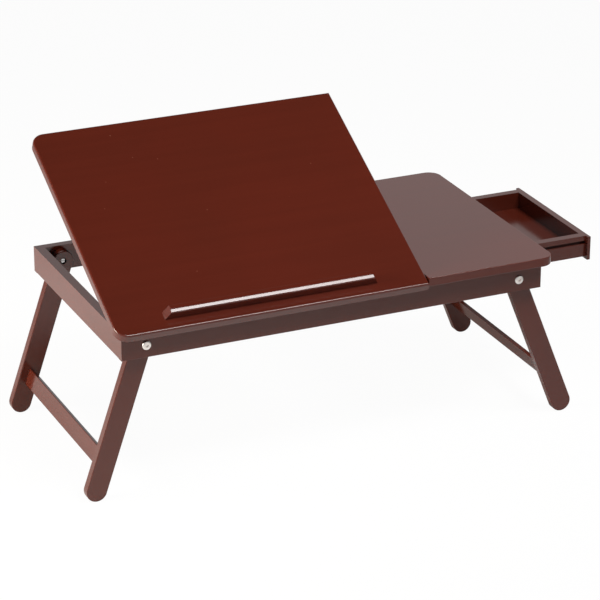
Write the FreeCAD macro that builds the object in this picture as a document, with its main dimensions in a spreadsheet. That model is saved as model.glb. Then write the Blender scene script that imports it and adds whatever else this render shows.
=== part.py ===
import FreeCAD, Part

import math
import os
import re

import Sketcher

# Bed-and-desk laptop stand: a wooden tray frame on two pairs of folding legs, a fixed top at the right
# with a drawer under it, and a tilting top at the left that a notched prop holds up.
#
# The tray's own measures run from the left outer face (x), from the front outer face (y) and from
# the rails' top (z). Each group of pieces has its own local origin: the tray's corner, the tilting
# top's hinge axis, the prop's axle, the legs' pivots and the closed drawer. The model's origin is
# on the floor, under the middle of the whole stand.

DRIVING_SIZES = {
    # tray frame
    "frame_length": 594.0,
    "frame_depth": 328.0,
    "rail_height": 35.5,
    "rail_thickness": 11.0,
    "rail_top_level": 229.5,
    "end_rail_thickness": 12.0,
    "end_stub_length": 43.0,
    "end_stub_thickness": 11.0,
    "rail_edge_radius": 0.8,
    # tops
    "top_thickness": 12.0,
    "left_overhang": 10.7,
    "right_overhang": 13.5,
    "front_overhang": 14.3,
    "back_overhang": 12.7,
    "fixed_top_length": 186.5,
    "seam_gap": 0.8,
    "top_corner_radius": 18.0,
    "top_edge_radius": 2.5,
    "fixed_top_edge_radius": 1.0,
    "under_edge_radius": 1.0,
    "batten_width": 12.0,
    "batten_height": 20.0,
    "batten_setback": 6.5,
    "batten_side_clearance": 3.0,
    # hinges of the tilting top
    "tilt_angle": 27.5,
    "lid_gap": 0.4,
    "hinge_reach": 2.6,
    "hinge_inset": 55.0,
    "hinge_length": 40.0,
    "leaf_width": 9.0,
    "leaf_thickness": 1.2,
    "leaf_screw_reach": 5.4,
    "knuckle_radius": 2.4,
    "knuckle_gap": 0.2,
    "hinge_pin_radius": 1.15,
    "pin_clearance": 0.05,
    "knuckle_relief": 0.4,
    # ledge bar on the tilting top
    "ledge_length": 294.0,
    "ledge_depth": 12.0,
    "ledge_height": 13.0,
    "ledge_setback": 16.4,
    "ledge_crest_depth": 5.6,
    "ledge_front_drop": 1.5,
    "ledge_back_drop": 0.6,
    "ledge_crest_blend": 6.0,
    "ledge_front_round": 1.6,
    "ledge_back_round": 0.8,
    "ledge_end_slope": 7.3,
    # prop under the tilting top
    "prop_angle": 45.0,
    "prop_length": 150.0,
    "prop_rod_radius": 3.0,
    "prop_arm_width": 14.0,
    "prop_arm_thickness": 8.0,
    "prop_side_gap": 2.0,
    "prop_axle_radius": 3.0,
    "prop_axle_drop": 20.0,
    "prop_bar_left_x": 262.0,
    "prop_bar_spacing": 60.0,
    "prop_bar_thickness": 10.0,
    "prop_bar_height": 24.0,
    "prop_bar_drop": 6.0,
    "rack_width": 22.0,
    "rack_thickness": 8.0,
    "rack_front_margin": 16.0,
    "rack_back_margin": 12.0,
    "rack_front_screw": 10.0,
    "rack_back_screw": 21.0,
    "tooth_depth": 2.2,
    "seat_clearance": 0.3,
    "middle_notch_step": 8.8,
    "low_notch_step": 7.6,
    # folding legs
    "leg_width": 28.0,
    "leg_thickness": 12.0,
    "leg_pivot_inset": 33.3,
    "leg_pivot_drop": 18.5,
    "left_leg_angle": 18.7,
    "right_leg_angle": 21.7,
    "leg_side_gap": 0.4,
    "leg_edge_radius": 1.0,
    "stretcher_distance": 169.0,
    "stretcher_width": 23.0,
    "stretcher_thickness": 5.3,
    "stretcher_tenon": 6.0,
    # leg bolts and barrel nuts
    "bolt_radius": 2.2,
    "bolt_running_clearance": 0.1,
    "bolt_head_radius": 6.3,
    "bolt_head_rim": 0.9,
    "bolt_head_height": 3.0,
    "bolt_socket_radius": 2.3,
    "bolt_socket_depth": 1.7,
    "nut_radius": 2.9,
    "nut_length": 4.0,
    "nut_sink": 1.8,
    "nut_slot_width": 0.9,
    "nut_slot_depth": 0.8,
    "counterbore_radius": 4.3,
    # drawer
    "drawer_opened": 110.5,
    "drawer_plate_thickness": 5.0,
    "drawer_plate_width": 205.0,
    "drawer_plate_drop": 3.0,
    "drawer_plate_hang": 0.9,
    "drawer_plate_edge": 1.2,
    "drawer_front_thickness": 5.0,
    "drawer_box_width": 194.0,
    "drawer_box_drop": 3.0,
    "drawer_box_height": 30.0,
    "drawer_back_gap": 1.0,
    "drawer_side_thickness": 11.0,
    "drawer_back_thickness": 8.0,
    "drawer_back_rise": 2.1,
    "drawer_floor_thickness": 4.0,
    "drawer_floor_rise": 2.5,
    "drawer_floor_lip": 3.0,
    "groove_height": 4.8,
    "groove_depth": 5.0,
    "groove_drop": 6.9,
    "runner_height": 19.0,
    "runner_side_gap": 0.5,
    "runner_play": 0.3,
    "runner_front_setback": 6.0,
    "runner_screw_back": 20.0,
    "runner_screw_front": 128.0,
    "stop_x": 567.5,
    "stop_width": 7.0,
    "stop_height": 2.2,
    "stop_side_margin": 5.0,
    # wood screws
    "screw_radius": 1.5,
    "screw_head_radius": 2.9,
    "screw_head_height": 1.6,
    "screw_bite": 8.0,
    "hinge_screw_radius": 1.0,
    "hinge_screw_head_radius": 1.9,
    "hinge_screw_length": 9.0,
    "hinge_screw_inset": 8.0,
}

doc = FreeCAD.newDocument("laptop_stand")
sheet = doc.addObject("Spreadsheet::Sheet", "Sizes")


def fill_sheet():
    """Write one row of the sheet for each driving size."""
    for row, (alias, size) in enumerate(DRIVING_SIZES.items(), start=1):
        sheet.set(f"A{row}", alias)
        sheet.set(f"B{row}", str(size))
        sheet.setAlias(f"B{row}", alias)
    doc.recompute()


def in_sheet(text):
    """Put the sheet's name before every alias of an expression."""
    def named(word):
        return "Sizes." + word[0] if word[0] in DRIVING_SIZES else word[0]

    return re.sub(r"[a-z_]+", named, text)


def value(text):
    """Work out an expression of aliases, in millimetres or degrees."""
    return float(sheet.evalExpression(in_sheet(text)))


def bind(thing, path, text):
    """Drive one property of a document object by an expression of aliases."""
    thing.setExpression(path, in_sheet(text))


# Local frames: origin in the tray's measures, turn axis, and turn angle.
PIVOT_LEVEL = "(0 - leg_pivot_drop)"
RIGHT_PIVOT = "(frame_length - leg_pivot_inset)"
ROD_HEIGHT = "(prop_length * sin(prop_angle) - prop_axle_drop - lid_gap / 2)"
ROD_BELOW_HINGE_PLANE = "(rack_thickness - tooth_depth + seat_clearance + prop_rod_radius - lid_gap / 2)"
ROD_FROM_HINGE = f"(({ROD_HEIGHT} * cos(tilt_angle) + {ROD_BELOW_HINGE_PLANE}) / sin(tilt_angle))"
AXLE_FROM_FRONT = f"({ROD_FROM_HINGE} - prop_length * cos(prop_angle) - hinge_reach)"
LEG_LENGTHS = {
    side: f"((rail_top_level - leg_pivot_drop - leg_width / 2) / cos({side}_leg_angle))"
    for side in ("left", "right")
}
LEFT_END = f"(leg_pivot_inset - {LEG_LENGTHS['left']} * sin(left_leg_angle) - leg_width / 2)"
ROUND_FROM_HINGE = "(front_overhang - hinge_reach - top_edge_radius)"
ROUND_ABOVE_HINGE = "(lid_gap / 2 + top_thickness - top_edge_radius)"
FRONT_END = (
    f"(0 - hinge_reach - {ROUND_FROM_HINGE} * cos(tilt_angle)"
    f" - {ROUND_ABOVE_HINGE} * sin(tilt_angle) - top_edge_radius)"
)
MIDDLE_X = f"(({LEFT_END} + frame_length + drawer_opened) / 2)"
MIDDLE_Y = f"(({FRONT_END} + frame_depth + back_overhang) / 2)"
HINGE_AXIS = ("0", "0 - hinge_reach", "lid_gap / 2")
GROUPS = {
    "tray": (("0", "0", "0"), None, "0"),
    "tilt_top": (HINGE_AXIS, "X", "tilt_angle"),
    "prop": (("0", AXLE_FROM_FRONT, "0 - prop_axle_drop"), "X", "prop_angle"),
    "left_legs": (("leg_pivot_inset", "0", PIVOT_LEVEL), "Y", "left_leg_angle"),
    "right_legs": ((RIGHT_PIVOT, "0", PIVOT_LEVEL), "Y", "(0 - right_leg_angle)"),
    "drawer": (("drawer_opened", "0", "0"), None, "0"),
}
TURN_AXES = {"X": FreeCAD.Vector(1, 0, 0), "Y": FreeCAD.Vector(0, 1, 0)}
PIECES = []


def put(piece, label, group, x="0", y="0", z="0"):
    """Label a piece and place its local origin at x, y, z of its group's own frame."""
    (origin_x, origin_y, origin_z), axis, angle = GROUPS[group]
    turned = (x, y, z)
    if axis == "X":
        turned = (
            x,
            f"({y}) * cos({angle}) - ({z}) * sin({angle})",
            f"({y}) * sin({angle}) + ({z}) * cos({angle})",
        )
    if axis == "Y":
        turned = (
            f"({x}) * cos({angle}) + ({z}) * sin({angle})",
            y,
            f"({z}) * cos({angle}) - ({x}) * sin({angle})",
        )
    if axis:
        turn = FreeCAD.Rotation(TURN_AXES[axis], value(angle))
        piece.Placement = FreeCAD.Placement(FreeCAD.Vector(), turn)
        bind(piece, "Placement.Rotation.Angle", angle)
    bind(piece, "Placement.Base.x", f"{origin_x} + {turned[0]} - {MIDDLE_X}")
    bind(piece, "Placement.Base.y", f"{origin_y} + {turned[1]} - {MIDDLE_Y}")
    bind(piece, "Placement.Base.z", f"{origin_z} + {turned[2]} + rail_top_level")
    piece.Label = label
    PIECES.append(piece)
    return piece


# Sketch and feature helpers


def new_body(name):
    return doc.addObject("PartDesign::Body", name + "_body")


def new_sketch(body, plane, name, level="0"):
    """Make a sketch on one of the body's origin planes, raised along the plane's normal to a level."""
    sketch = body.newObject("Sketcher::SketchObject", name)
    origin_plane = next(item for item in body.Origin.OriginFeatures if item.Role == plane + "_Plane")
    sketch.AttachmentSupport = [(origin_plane, "")]
    sketch.MapMode = "FlatFace"
    bind(sketch, "AttachmentOffset.Base.z", level)
    return sketch


def constrain(sketch, kind, references, name, text):
    """Add a named dimension and drive it by an expression."""
    index = sketch.addConstraint(Sketcher.Constraint(kind, *references, value(text)))
    sketch.renameConstraint(index, name)
    bind(sketch, "Constraints." + name, text)


def pin_point(sketch, geometry, vertex, x, y, name):
    """Dimension one vertex from the sketch's origin."""
    constrain(sketch, "DistanceX", (-1, 1, geometry, vertex), name + "_x", x)
    constrain(sketch, "DistanceY", (-1, 1, geometry, vertex), name + "_y", y)


def draw_polygon(sketch, corners, prefix="corner"):
    """Draw a closed outline of straight lines whose corners are pairs of expressions."""
    places = [FreeCAD.Vector(value(x), value(y), 0) for x, y in corners]
    first = sketch.GeometryCount
    count = len(places)
    for index in range(count):
        sketch.addGeometry(Part.LineSegment(places[index], places[(index + 1) % count]))
    for index in range(count):
        following = first + (index + 1) % count
        sketch.addConstraint(Sketcher.Constraint("Coincident", first + index, 2, following, 1))
    for index, (x, y) in enumerate(corners):
        pin_point(sketch, first + index, 1, x, y, f"{prefix}_{index + 1}")


def draw_rectangle(sketch, left, low, right, high, prefix="corner"):
    """Draw a rectangle between two opposite corners."""
    draw_polygon(sketch, [(left, low), (right, low), (right, high), (left, high)], prefix)


def draw_circle(sketch, x, y, radius, prefix="hole"):
    """Draw a circle with a dimensioned centre and radius."""
    centre = FreeCAD.Vector(value(x), value(y), 0)
    index = sketch.addGeometry(Part.Circle(centre, FreeCAD.Vector(0, 0, 1), value(radius)))
    pin_point(sketch, index, 3, x, y, prefix)
    constrain(sketch, "Radius", (index,), prefix + "_radius", radius)


def draw_round_bar(sketch, far_x, far_y, radius):
    """Draw a bar outline with full round ends, from the sketch's origin to a far centre."""
    near = FreeCAD.Vector()
    far = FreeCAD.Vector(value(far_x), value(far_y), 0)
    size = value(radius)
    heading = math.atan2(far.y, far.x)
    quarter = math.pi / 2
    side = FreeCAD.Vector(math.cos(heading - quarter), math.sin(heading - quarter), 0) * size
    upwards = FreeCAD.Vector(0, 0, 1)
    near_circle = Part.Circle(near, upwards, size)
    far_circle = Part.Circle(far, upwards, size)
    sketch.addGeometry(Part.ArcOfCircle(near_circle, heading + quarter, heading + 3 * quarter))
    sketch.addGeometry(Part.LineSegment(near + side, far + side))
    sketch.addGeometry(Part.ArcOfCircle(far_circle, heading - quarter, heading + quarter))
    sketch.addGeometry(Part.LineSegment(far - side, near - side))
    for index in range(4):
        sketch.addConstraint(Sketcher.Constraint("Tangent", index, 2, (index + 1) % 4, 1))
    sketch.addConstraint(Sketcher.Constraint("Coincident", 0, 3, -1, 1))
    pin_point(sketch, 2, 3, far_x, far_y, "far")
    constrain(sketch, "Radius", (0,), "end_radius", radius)


def add_pad(body, sketch, length, turned=False):
    """Extrude a sketch along its normal, or against it where turned."""
    pad = body.newObject("PartDesign::Pad", "Pad")
    pad.Profile = sketch
    pad.Reversed = turned
    bind(pad, "Length", length)
    doc.recompute()
    return pad


def add_pocket(body, sketch, depth=None, turned=False):
    """Cut a sketch into the body, right through where no depth is given, and make sure that it cuts."""
    before = body.Shape.Volume
    pocket = body.newObject("PartDesign::Pocket", "Pocket")
    pocket.Profile = sketch
    pocket.Reversed = turned
    if depth is None:
        pocket.Type = "ThroughAll"
        pocket.Midplane = True
    else:
        bind(pocket, "Length", depth)
    doc.recompute()
    if not body.Shape.Volume < before:
        raise RuntimeError(f"{body.Name}: {sketch.Name} cuts nothing")
    return pocket


def add_fillet(body, radius, wanted):
    """Round the edges of the body that a test picks."""
    feature = body.Tip
    names = [f"Edge{number}" for number, edge in enumerate(feature.Shape.Edges, start=1) if wanted(edge)]
    if not names:
        raise RuntimeError(f"{body.Name}: no edge to round")
    fillet = body.newObject("PartDesign::Fillet", "Fillet")
    fillet.Base = (feature, names)
    bind(fillet, "Radius", radius)
    doc.recompute()
    return fillet


CLOSE = 1e-4
LONG_EDGE = 100.0


def lies_at(edge, **place):
    """Tell whether the whole edge lies at the given x, y or z."""
    box = edge.BoundBox
    for axis, text in place.items():
        low, high = getattr(box, axis.upper() + "Min"), getattr(box, axis.upper() + "Max")
        if abs(low - value(text)) > CLOSE or abs(high - value(text)) > CLOSE:
            return False
    return True


def make_board(name, length, width, height):
    """Pad a plain rectangular board from its own corner: length along x, width along y, height along z."""
    body = new_body(name)
    sketch = new_sketch(body, "XY", name + "_outline")
    draw_rectangle(sketch, "0", "0", length, width)
    add_pad(body, sketch, height)
    return body


def drill_across(body, name, places, radius, depth=None, level="0", turned=False):
    """Drill holes along y at x, z places."""
    sketch = new_sketch(body, "XZ", name, level)
    for number, (x, z) in enumerate(places, start=1):
        draw_circle(sketch, x, z, radius, f"hole_{number}")
    return add_pocket(body, sketch, depth, turned)


def drill_along(body, name, places, radius):
    """Drill holes right through along x at y, z places."""
    sketch = new_sketch(body, "YZ", name)
    for number, (y, z) in enumerate(places, start=1):
        draw_circle(sketch, y, z, radius, f"hole_{number}")
    return add_pocket(body, sketch)


def drill_upright(body, name, places, radius, depth=None, level="0", turned=False):
    """Drill holes along z at x, y places: down from a level, or up from it where turned."""
    sketch = new_sketch(body, "XY", name, level)
    for number, (x, y) in enumerate(places, start=1):
        draw_circle(sketch, x, y, radius, f"hole_{number}")
    return add_pocket(body, sketch, depth, turned)


# Part primitives for hardware


def make_primitive(kind, name, **sizes):
    """Make a Part primitive with its sizes driven by expressions."""
    thing = doc.addObject("Part::" + kind, name)
    for size, text in sizes.items():
        bind(thing, size, text)
    return thing


def shift(thing, x="0", y="0", z="0"):
    """Drive a primitive's own place by expressions."""
    bind(thing, "Placement.Base.x", x)
    bind(thing, "Placement.Base.y", y)
    bind(thing, "Placement.Base.z", z)
    return thing


def make_box(name, x, y, z, length, width, height):
    return shift(make_primitive("Box", name, Length=length, Width=width, Height=height), x, y, z)


def clear_shift(thing):
    """Leave a primitive at its own origin, for a compound to place."""
    for axis in "xyz":
        thing.setExpression("Placement.Base." + axis, None)


def make_rod(name, x, y, z, radius, length):
    """Make a cylinder along x that starts at x, y, z."""
    rod = make_primitive("Cylinder", name, Radius=radius, Height=length)
    rod.Placement.Rotation = FreeCAD.Rotation(FreeCAD.Vector(0, 1, 0), 90)
    return shift(rod, x, y, z)


def make_screw(name, x, y, z, size, head_size, head_height, length, upward, countersunk=False):
    """Make a wood screw whose head's outer face is at z and whose point looks up or down."""
    head_z = z if upward else f"{z} - ({head_height})"
    if countersunk:
        first, second = (head_size, size) if upward else (size, head_size)
        head = make_primitive("Cone", name + "_head", Radius1=first, Radius2=second, Height=head_height)
    else:
        head = make_primitive("Cylinder", name + "_head", Radius=head_size, Height=head_height)
    shift(head, x, y, head_z)
    shank = make_primitive("Cylinder", name + "_shank", Radius=size, Height=f"{length} - ({head_height})")
    shift(shank, x, y, f"{z} + ({head_height})" if upward else f"{z} - ({length})")
    screw = doc.addObject("Part::MultiFuse", name)
    screw.Shapes = [head, shank]
    return screw


def join(name, things):
    """Gather separate solids into one compound."""
    compound = doc.addObject("Part::Compound", name)
    compound.Links = things
    return compound


# Places that several pieces share

SEAM_X = "(frame_length + right_overhang - fixed_top_length)"
TOP_DEPTH = "(frame_depth + front_overhang + back_overhang)"
TILT_LENGTH = f"({SEAM_X} - seam_gap + left_overhang)"
BETWEEN_RAILS = "(frame_depth - 2 * rail_thickness)"
BOLT_PLACES = [
    ("leg_pivot_inset", "rail_height - leg_pivot_drop"),
    ("frame_length - leg_pivot_inset", "rail_height - leg_pivot_drop"),
]
HINGE_STARTS = {
    "left": "(hinge_inset - left_overhang)",
    "right": f"({TILT_LENGTH} - left_overhang - hinge_inset - hinge_length)",
}
HINGE_SCREW_STEPS = ["hinge_screw_inset", "hinge_length - hinge_screw_inset"]
LEAF_SCREW_Y = "(knuckle_radius + knuckle_gap + leaf_screw_reach)"
BATTEN_X = f"({SEAM_X} + batten_setback)"
BOX_BACK_X = f"({BATTEN_X} + batten_width + drawer_back_gap)"
BOX_LENGTH = f"(frame_length - drawer_plate_thickness - {BOX_BACK_X})"
BOX_FRONT_Y = "((frame_depth - drawer_box_width) / 2)"
BOX_BOTTOM_Z = "(0 - drawer_box_drop - drawer_box_height)"
BOX_INNER_WIDTH = "(drawer_box_width - 2 * drawer_side_thickness)"
RUNNER_WIDTH = f"({BOX_FRONT_Y} - runner_side_gap - rail_thickness - end_stub_length)"
RUNNER_SCREW_X = ["runner_screw_back", "runner_screw_front"]
ARM_LEFT_X = "(prop_bar_left_x + prop_bar_thickness + prop_side_gap)"
ARM_RIGHT_X = "(prop_bar_left_x + prop_bar_spacing - prop_side_gap - prop_arm_thickness)"
PROP_MIDDLE_X = "(prop_bar_left_x + (prop_bar_spacing + prop_bar_thickness) / 2)"
ROD_ALONG_PANEL = f"({ROD_FROM_HINGE} * cos(tilt_angle) + {ROD_HEIGHT} * sin(tilt_angle))"
LEG_INNER_Y = "(rail_thickness + leg_side_gap + leg_thickness)"
NUT_FACE_Y = f"({LEG_INNER_Y} - nut_sink)"
BATTEN_Y = "(rail_thickness + leg_thickness + batten_side_clearance)"


# Tray frame


def make_rail(name, y, hinged):
    """Make a long rail with its two leg bolt holes, and its hinge seats where it is hinged."""
    body = make_board(name, "frame_length", "rail_thickness", "rail_height")
    drill_across(body, name + "_bolt_holes", BOLT_PLACES, "bolt_radius")
    if hinged:
        seats = new_sketch(body, "XY", name + "_hinge_seats", "rail_height")
        pilots = []
        for number, start in enumerate(HINGE_STARTS.values(), start=1):
            draw_rectangle(seats, start, "0", f"{start} + hinge_length", "leaf_width", f"seat_{number}")
            pilots += [(f"{start} + {step}", f"{LEAF_SCREW_Y} - hinge_reach") for step in HINGE_SCREW_STEPS]
        add_pocket(body, seats, "leaf_thickness")
        drill_upright(body, name + "_pilots", pilots, "hinge_screw_radius", "hinge_screw_length",
                      "rail_height")
    add_fillet(body, "rail_edge_radius", lambda edge: edge.Length > LONG_EDGE and lies_at(edge, z="0"))
    put(body, name, "tray", "0", y, "0 - rail_height")


def make_frame():
    make_rail("front_rail", "0", True)
    make_rail("back_rail", "frame_depth - rail_thickness", False)
    left_end = make_board("left_end_rail", "end_rail_thickness", BETWEEN_RAILS, "rail_height")
    add_fillet(left_end, "rail_edge_radius", lambda edge: lies_at(edge, z="0", x="0"))
    put(left_end, "left_end_rail", "tray", "0", "rail_thickness", "0 - rail_height")
    stubs = {
        "right_end_rail_front": "rail_thickness",
        "right_end_rail_back": "frame_depth - rail_thickness - end_stub_length",
    }
    for name, y in stubs.items():
        stub = make_board(name, "end_stub_thickness", "end_stub_length", "rail_height")
        put(stub, name, "tray", "frame_length - end_stub_thickness", y, "0 - rail_height")
    batten = make_board("cross_batten", "batten_width", f"frame_depth - 2 * {BATTEN_Y}", "batten_height")
    put(batten, "cross_batten", "tray", BATTEN_X, BATTEN_Y, "0 - batten_height")


def round_top_board(body, corner_x, edge_radius):
    """Round the two outer corners of a top, then its top and underside edges."""
    add_fillet(body, "top_corner_radius",
               lambda edge: lies_at(edge, x=corner_x, y="0") or lies_at(edge, x=corner_x, y=TOP_DEPTH))
    add_fillet(body, edge_radius, lambda edge: lies_at(edge, z="top_thickness"))
    add_fillet(body, "under_edge_radius", lambda edge: lies_at(edge, z="0"))


def make_fixed_top():
    body = make_board("fixed_top", "fixed_top_length", TOP_DEPTH, "top_thickness")
    round_top_board(body, "fixed_top_length", "fixed_top_edge_radius")
    pilots = [(f"{x} - {SEAM_X}", f"{y} + front_overhang") for x, y in runner_screw_places()]
    drill_upright(body, "fixed_top_pilots", pilots, "screw_radius", "screw_bite", turned=True)
    put(body, "fixed_top", "tray", SEAM_X, "0 - front_overhang", "0")


# Hinges of the tilting top


def make_hinge_screw(name, x, sense):
    """Make one countersunk screw of a leaf: sense -1 into the rail, 1 into the top."""
    surface = "0 - lid_gap / 2" if sense < 0 else "lid_gap / 2"
    return make_screw(name, x, LEAF_SCREW_Y, surface, "hinge_screw_radius", "hinge_screw_head_radius",
                      "leaf_thickness", "hinge_screw_length", sense > 0, countersunk=True)


def make_leaf(name, start, group, sense):
    """Make one hinge leaf about its axis: sense -1 for the rail's leaf, 1 for the top's."""
    knuckle = "((hinge_length - 2 * knuckle_gap) / 3)"
    outer_knuckles = ["0", f"2 * ({knuckle} + knuckle_gap)"]
    own_knuckles = outer_knuckles if sense < 0 else [f"{knuckle} + knuckle_gap"]
    low = "0 - lid_gap / 2 - leaf_thickness" if sense < 0 else "lid_gap / 2"
    reach = "(knuckle_radius + knuckle_gap)"
    shapes = [make_box(name + "_plate", "0", reach, low, "hinge_length", "leaf_width", "leaf_thickness")]
    for number, x in enumerate(own_knuckles, start=1):
        shapes.append(make_rod(f"{name}_knuckle_{number}", x, "0", "0", "knuckle_radius", knuckle))
        tab_y = "knuckle_radius / 2"
        tab_width = f"{reach} - knuckle_radius / 2"
        shapes.append(make_box(f"{name}_tab_{number}", x, tab_y, low, knuckle, tab_width, "leaf_thickness"))
    solid = doc.addObject("Part::MultiFuse", name + "_solid")
    solid.Shapes = shapes
    bore_radius = "hinge_pin_radius + pin_clearance"
    bore_length = "hinge_length + 2 * knuckle_gap"
    holes = [make_rod(name + "_bore", "0 - knuckle_gap", "0", "0", bore_radius, bore_length)]
    for number, step in enumerate(HINGE_SCREW_STEPS, start=1):
        holes.append(make_hinge_screw(f"{name}_screw_hole_{number}", step, sense))
    tools = doc.addObject("Part::MultiFuse", name + "_holes")
    tools.Shapes = holes
    leaf = doc.addObject("Part::Cut", name + "_leaf")
    leaf.Base = solid
    leaf.Tool = tools
    if group == "tray":
        put(leaf, name, group, start, *HINGE_AXIS[1:])
    else:
        put(leaf, name, group, start)


def make_hinge_screws(name, group, sense):
    """Make the four screws of both hinges that hold the rail's leaves or the top's leaves."""
    screws = [make_hinge_screw(f"{name}_{side}_{number}", f"{start} + {step}", sense)
              for side, start in HINGE_STARTS.items()
              for number, step in enumerate(HINGE_SCREW_STEPS, start=1)]
    screw_set = join(name + "_set", screws)
    if group == "tray":
        put(screw_set, name, group, *HINGE_AXIS)
    else:
        put(screw_set, name, group)


def make_hinges():
    for side, start in HINGE_STARTS.items():
        make_leaf(f"hinge_{side}_rail_leaf", start, "tray", -1)
        make_leaf(f"hinge_{side}_top_leaf", start, "tilt_top", 1)
        pin = make_rod(f"hinge_{side}_pin_rod", "0", "0", "0", "hinge_pin_radius", "hinge_length")
        clear_shift(pin)
        pin_set = join(f"hinge_{side}_pin_set", [pin])
        put(pin_set, f"hinge_{side}_pin", "tray", start, *HINGE_AXIS[1:])
    make_hinge_screws("hinge_rail_screws", "tray", -1)
    make_hinge_screws("hinge_top_screws", "tilt_top", 1)


# Tilting top, its ledge and its notched rack

AXIS_FROM_EDGE = "(front_overhang - hinge_reach)"
RACK_SCREW_STEPS = ["0 - rack_front_screw", "rack_back_screw"]


def make_tilt_panel():
    body = make_board("tilt_panel", TILT_LENGTH, TOP_DEPTH, "top_thickness")
    round_top_board(body, "0", "top_edge_radius")
    seats = new_sketch(body, "XY", "tilt_panel_hinge_seats")
    pilots = []
    seat_low_y = f"{AXIS_FROM_EDGE} + knuckle_radius / 2"
    seat_high_y = f"{AXIS_FROM_EDGE} + knuckle_radius + knuckle_gap + leaf_width"
    for number, start in enumerate(HINGE_STARTS.values(), start=1):
        left = f"{start} + left_overhang"
        draw_rectangle(seats, left, seat_low_y, f"{left} + hinge_length", seat_high_y, f"seat_{number}")
        pilots += [(f"{left} + {step}", f"{AXIS_FROM_EDGE} + {LEAF_SCREW_Y}") for step in HINGE_SCREW_STEPS]
    add_pocket(body, seats, "leaf_thickness", turned=True)
    for side, start in HINGE_STARTS.items():
        relief_start = f"{start} + left_overhang - knuckle_gap"
        relief = new_sketch(body, "YZ", f"tilt_panel_{side}_knuckle_relief", relief_start)
        draw_circle(relief, AXIS_FROM_EDGE, "0 - lid_gap / 2", "knuckle_radius + knuckle_relief", "relief")
        add_pocket(body, relief, "hinge_length + 2 * knuckle_gap", turned=True)
    drill_upright(body, "tilt_panel_pilots", pilots, "hinge_screw_radius", "hinge_screw_length",
                  turned=True)
    rack_pilots = [(f"{PROP_MIDDLE_X} + left_overhang", f"{AXIS_FROM_EDGE} + {ROD_ALONG_PANEL} + {step}")
                   for step in RACK_SCREW_STEPS]
    drill_upright(body, "tilt_panel_rack_pilots", rack_pilots, "screw_radius", "screw_bite", turned=True)
    put(body, "tilt_panel", "tilt_top", "0 - left_overhang", f"0 - {AXIS_FROM_EDGE}", "lid_gap / 2")


def make_ledge_bar():
    """Make the ledge: a bar with sloping ends and a low crest, which falls away more towards the front."""
    body = new_body("ledge_bar")
    sketch = new_sketch(body, "XZ", "ledge_bar_front_view")
    draw_polygon(sketch, [
        ("0", "0"),
        ("ledge_length", "0"),
        ("ledge_length - ledge_end_slope", "ledge_height"),
        ("ledge_end_slope", "ledge_height"),
    ])
    add_pad(body, sketch, "ledge_depth", turned=True)
    front_edge = ("0", "ledge_height - ledge_front_drop")
    crest = ("ledge_crest_depth", "ledge_height")
    back_edge = ("ledge_depth", "ledge_height - ledge_back_drop")
    slopes = {"front": (front_edge, "0"), "back": (back_edge, "ledge_depth")}
    for side, (edge_point, side_face) in slopes.items():
        wedge = new_sketch(body, "YZ", f"ledge_bar_{side}_slope")
        draw_polygon(wedge, [edge_point, crest, (side_face, "ledge_height")])
        add_pocket(body, wedge)
    rounds = {"ledge_crest_blend": crest, "ledge_front_round": front_edge, "ledge_back_round": back_edge}
    for radius, (depth, height) in rounds.items():
        add_fillet(body, radius, lambda edge, y=depth, z=height: lies_at(edge, y=y, z=z))
    left = f"({TILT_LENGTH} - ledge_length) / 2 - left_overhang"
    front = f"ledge_setback - {AXIS_FROM_EDGE}"
    put(body, "ledge_bar", "tilt_top", left, front, "lid_gap / 2 + top_thickness")


def make_notch_rack():
    """Make the rack: three notches with upright front walls and ramps behind, the highest setting first."""
    body = new_body("notch_rack")
    sketch = new_sketch(body, "YZ", "notch_rack_side_view")
    wall = "(0 - prop_rod_radius - seat_clearance)"
    roof = "(tooth_depth - rack_thickness)"
    base = "(0 - rack_thickness)"
    notches = ["0", "middle_notch_step", "(middle_notch_step + low_notch_step)"]
    back = f"({notches[-1]} + rack_back_margin)"
    corners = [("0 - rack_front_margin", "0"), ("0 - rack_front_margin", base)]
    for notch in notches:
        corners += [(f"{notch} + {wall}", base), (f"{notch} + {wall}", roof), (notch, roof)]
    corners += [(f"{notches[-1]} + 2 * prop_rod_radius", base), (back, base), (back, "0")]
    draw_polygon(sketch, corners)
    add_pad(body, sketch, "rack_width")
    places = [("rack_width / 2", step) for step in RACK_SCREW_STEPS]
    drill_upright(body, "notch_rack_screw_holes", places, "screw_radius")
    drill_upright(body, "notch_rack_counterbores", places, "screw_head_radius", "screw_head_height",
                  "0 - rack_thickness", turned=True)
    put(body, "notch_rack", "tilt_top", f"{PROP_MIDDLE_X} - rack_width / 2", ROD_ALONG_PANEL, "lid_gap / 2")
    underside = "lid_gap / 2 - rack_thickness"
    screw_length = "rack_thickness + screw_bite"
    screws = [make_screw(f"rack_screw_{number}", PROP_MIDDLE_X, f"{ROD_ALONG_PANEL} + {step}", underside,
                         "screw_radius", "screw_head_radius", "screw_head_height", screw_length, upward=True)
              for number, step in enumerate(RACK_SCREW_STEPS, start=1)]
    put(join("rack_screw_set", screws), "rack_screws", "tilt_top")


# Prop under the tilting top


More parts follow.
